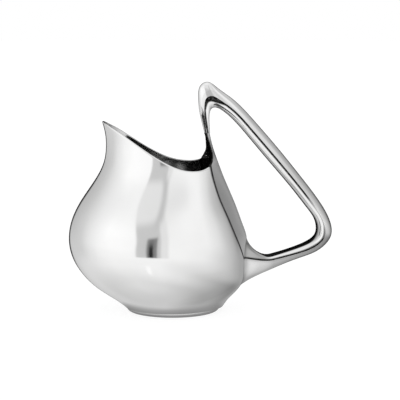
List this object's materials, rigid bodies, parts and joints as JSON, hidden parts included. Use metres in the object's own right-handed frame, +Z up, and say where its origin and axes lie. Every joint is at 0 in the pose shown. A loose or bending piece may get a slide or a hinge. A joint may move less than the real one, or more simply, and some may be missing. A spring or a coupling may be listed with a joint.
{
  "type": "cream jug",
  "caption": "Small round-bellied silver cream jug with a raised spout and a tall hollow triangular loop handle; stands on a flat foot ring and pours cream.",
  "frame": {"origin": "on the table plane, under the middle of the jug's length and width; the foot ring's centre is 11.7 mm towards the spout from it", "axes": "+Z up, -X towards the spout, +X towards the handle, the jug is symmetric about the XZ plane"},
  "size_m": [0.1091, 0.0716, 0.0944],
  "materials": {
    "body_silver": "polished silver",
    "panel_silver": "polished silver",
    "handle_silver": "polished silver",
    "inner_silver": "polished silver",
    "base_silver": "satin silver",
    "foot_silver": "polished silver"
  },
  "bodies": {
    "root": {"body_shell": "body_silver", "back_panel": "panel_silver", "handle_outer_shell": "handle_silver", "handle_inner_shell": "inner_silver", "base_plate": "base_silver", "foot_ring": "foot_silver"}
  },
  "joints": []
}
